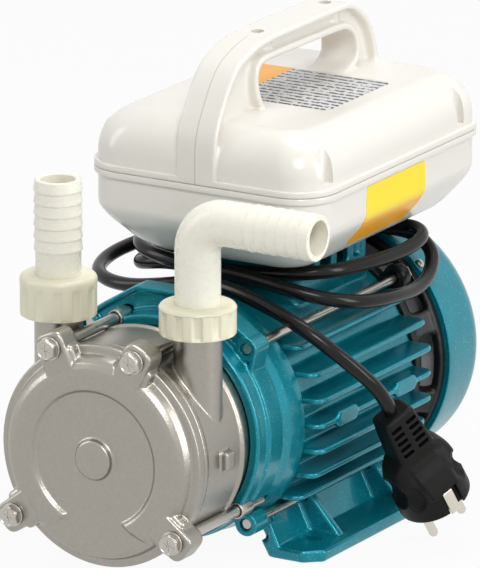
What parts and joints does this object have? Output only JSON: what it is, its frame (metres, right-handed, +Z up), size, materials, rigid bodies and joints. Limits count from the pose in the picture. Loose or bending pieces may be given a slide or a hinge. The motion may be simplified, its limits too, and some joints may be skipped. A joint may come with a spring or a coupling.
{
  "type": "electric transfer pump",
  "caption": "Mains-powered transfer pump: steel pump head with two hose tails, finned foot-mounted motor and a white switch box with carrying handle.",
  "frame": {"origin": "centre of the foot bolt pattern, on the base plane", "axes": "+Z up, pump head faces -Y, shaft along Y, elbow tail along +X"},
  "size_m": [0.2091, 0.2907, 0.256],
  "materials": {
    "cast_steel": "warm grey bead-blasted cast stainless steel",
    "steel_hardware": "zinc-plated and stainless fasteners",
    "teal_cast": "teal metallic paint with fine sparkle on cast aluminium",
    "teal_sheet": "teal metallic paint on pressed sheet",
    "black_cast": "black paint on cast aluminium",
    "white_shell": "warm white moulded plastic, fine satin grain",
    "ivory_nylon": "ivory nylon, slightly translucent",
    "milky_nylon": "milky natural nylon, translucent",
    "black_rubber": "satin black cable sheath",
    "black_plug": "matt black moulded rubber-like plastic",
    "seal_rubber": "black sealing rubber",
    "bright_pins": "nickel-plated brass",
    "bearing_steel": "ground bearing steel",
    "lamination_steel": "stacked electrical sheet",
    "copper": "enamelled copper wire",
    "fan_plastic": "black moulded plastic",
    "ceramic": "ground seal ring",
    "plate_silver": "bare silver plate with a plain orange band",
    "label_yellow": "bare yellow and orange label",
    "white_part": "white moulded plastic"
  },
  "bodies": {
    "frame": {"pump_cover": "cast_steel", "cover_gasket": "seal_rubber", "pump_body": "cast_steel", "cover_bolts": "steel_hardware", "bolt_washers": "steel_hardware", "standoffs": "steel_hardware", "seal_seat": "ceramic", "port_gasket_left": "seal_rubber", "port_gasket_right": "seal_rubber", "hose_tail_straight": "milky_nylon", "front_bracket": "teal_cast", "front_bearing": "bearing_steel", "rear_bearing": "bearing_steel", "wave_washer": "bearing_steel", "stator_core": "lamination_steel", "stator_windings": "copper", "motor_housing": "teal_cast", "rear_bracket": "black_cast", "tie_rods": "steel_hardware", "tie_rod_nuts": "steel_hardware", "fan_cover": "teal_sheet", "fan_cover_screws": "steel_hardware", "lower_shell": "white_shell", "upper_shell": "white_shell", "box_gasket": "seal_rubber", "box_screws": "steel_hardware", "capacitor": "white_part", "terminal_block": "white_part", "switch_body": "fan_plastic", "cord_gland": "black_plug", "rating_plate": "plate_silver", "side_label": "label_yellow", "cord_coil": "black_rubber", "plug_body": "black_plug", "plug_pins": "bright_pins", "earth_clips": "bright_pins", "cord_lead": "black_rubber"},
    "rotor": {"shaft": "bearing_steel", "rotor_core": "lamination_steel", "impeller": "copper", "impeller_key": "bearing_steel", "mechanical_seal": "seal_rubber", "slinger_ring": "seal_rubber", "fan": "fan_plastic"},
    "left_nut": {"union_nut_left": "ivory_nylon"},
    "right_nut": {"union_nut_right": "ivory_nylon"},
    "elbow": {"hose_elbow": "milky_nylon"},
    "rocker": {"switch_rocker": "fan_plastic"}
  },
  "joints": [
    {"name": "rotor_spin", "type": "hinge", "parent": "frame", "child": "rotor", "pos_m": [0, 0, 0.071], "axis": [0, 1, 0], "continuous": true},
    {"name": "left_nut_spin", "type": "hinge", "parent": "frame", "child": "left_nut", "pos_m": [-0.0407, -0.1305, 0.14], "axis": [0, 0, 1], "continuous": true},
    {"name": "right_nut_spin", "type": "hinge", "parent": "frame", "child": "right_nut", "pos_m": [0.0407, -0.1305, 0.14], "axis": [0, 0, 1], "continuous": true},
    {"name": "elbow_swivel", "type": "hinge", "parent": "frame", "child": "elbow", "pos_m": [0.0407, -0.1305, 0.15], "axis": [0, 0, 1], "range_deg": [-150, 45]},
    {"name": "rocker_tilt", "type": "hinge", "parent": "frame", "child": "rocker", "pos_m": [0.03, 0.1153, 0.1785], "axis": [0, 0, 1], "range_deg": [-12, 0]}
  ]
}
